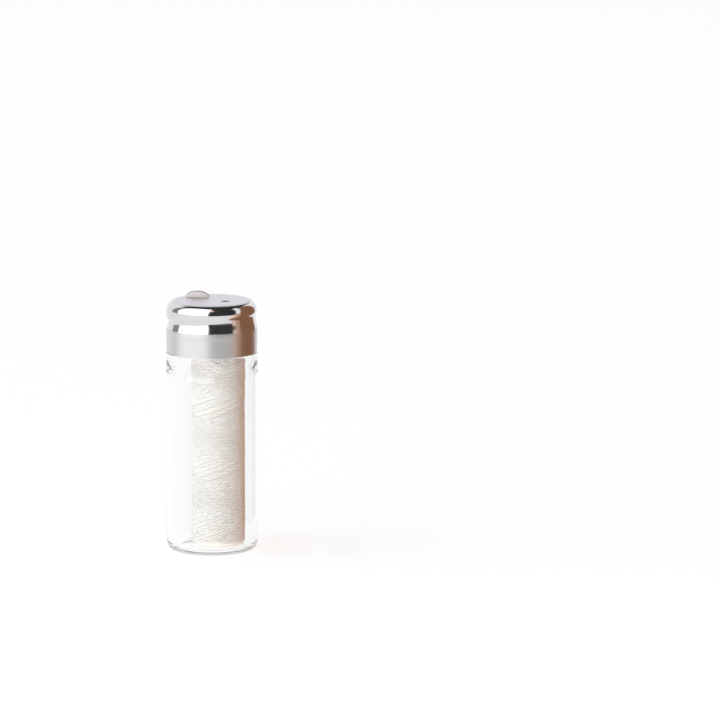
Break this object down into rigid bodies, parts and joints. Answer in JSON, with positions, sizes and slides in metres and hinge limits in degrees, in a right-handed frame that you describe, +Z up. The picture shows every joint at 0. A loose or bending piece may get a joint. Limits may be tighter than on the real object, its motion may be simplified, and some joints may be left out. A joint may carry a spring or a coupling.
{
  "type": "dental floss dispenser",
  "caption": "Clear glass vial with a pressed steel screw cap that has a floss hole and a raised cutter flap, holding a spool of silk floss.",
  "frame": {"origin": "on the vial's axis, on the plane that it stands on", "axes": "+Z up along the vial's axis, -Y towards the front, where the cutter flap opens, and +X to the right, the side that the spool stands on"},
  "size_m": [0.022, 0.022, 0.0629],
  "materials": {
    "clear_glass": "clear, smooth",
    "polished_steel": "polished crown and thread, satin skirt",
    "gasket_foam": "matt white foam",
    "kraft_board": "plain brown board",
    "silk_floss": "waxed natural silk"
  },
  "bodies": {
    "vial": {"glass_vial": "clear_glass"},
    "spool": {"paper_core": "kraft_board", "floss_winding": "silk_floss", "floss_outer_turns": "silk_floss", "floss_tail": "silk_floss"},
    "cap_seal": {"rim_gasket": "gasket_foam"},
    "cap": {"screw_cap": "polished_steel"}
  },
  "joints": [
    {"name": "spool_lift", "type": "slide", "parent": "vial", "child": "spool", "axis": [0, 0, 1], "range_m": [0, 0.011]},
    {"name": "cap_rise", "type": "slide", "parent": "vial", "child": "cap_seal", "axis": [0, 0, 1], "range_m": [0, 0.015]},
    {"name": "cap_turn", "type": "hinge", "parent": "cap_seal", "child": "cap", "pos_m": [0, 0, 0.055], "axis": [0, 0, 1], "range_deg": [0, 1080]}
  ],
  "couplings": [
    {"joint": "cap_rise", "follows": "cap_turn", "m_per_rad": 0.00079577}
  ]
}
